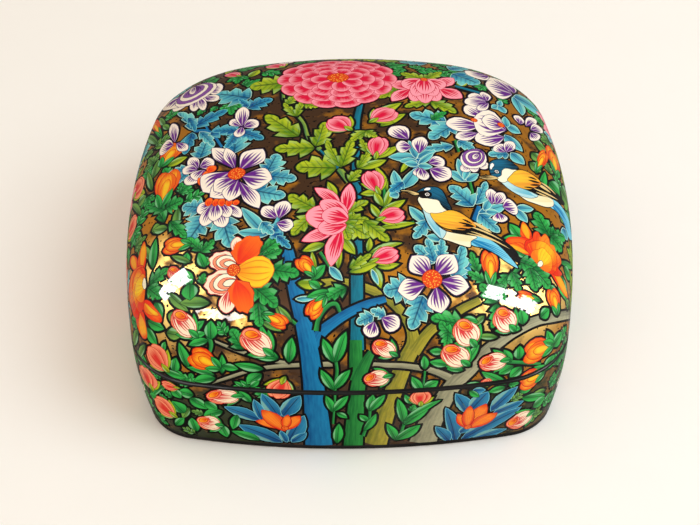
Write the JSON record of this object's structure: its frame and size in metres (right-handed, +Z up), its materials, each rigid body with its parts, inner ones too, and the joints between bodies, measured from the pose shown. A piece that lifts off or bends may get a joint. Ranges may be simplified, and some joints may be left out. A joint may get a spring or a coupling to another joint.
{
  "type": "lidded papier mache box",
  "caption": "Rounded square lidded box of papier mache with a domed lift-off lid on an inner collar, painted with flowers, trees and birds.",
  "frame": {"origin": "centre of the underside, on the surface that the box stands on", "axes": "+Z up, towards the lid's crown; -Y towards the painted side that faces the viewer; +X to the viewer's right"},
  "size_m": [0.128, 0.128, 0.061],
  "materials": {
    "foot_lacquer": "black lacquer, glossy",
    "base_pulp": "moulded paper pulp",
    "base_painting": "painted flowers and leaves under clear lacquer",
    "base_edge_lacquer": "black lacquer, glossy",
    "collar_lacquer": "black lacquer, satin",
    "base_lining_lacquer": "black lacquer, satin",
    "lid_pulp": "moulded paper pulp",
    "lid_painting": "painted flowers and birds under clear lacquer",
    "lid_edge_lacquer": "black lacquer, glossy",
    "lid_lining_lacquer": "black lacquer, satin"
  },
  "bodies": {
    "base": {"foot_board": "foot_lacquer", "base_shell": "base_pulp", "base_painted_skin": "base_painting", "base_rim_edge": "base_edge_lacquer", "locating_collar": "collar_lacquer", "base_lining": "base_lining_lacquer"},
    "lid": {"lid_shell": "lid_pulp", "lid_painted_skin": "lid_painting", "lid_rim_edge": "lid_edge_lacquer", "lid_lining": "lid_lining_lacquer"}
  },
  "joints": [
    {"name": "lid_lift", "type": "slide", "parent": "base", "child": "lid", "axis": [0, 0, 1], "range_m": [0, 0.06]}
  ]
}
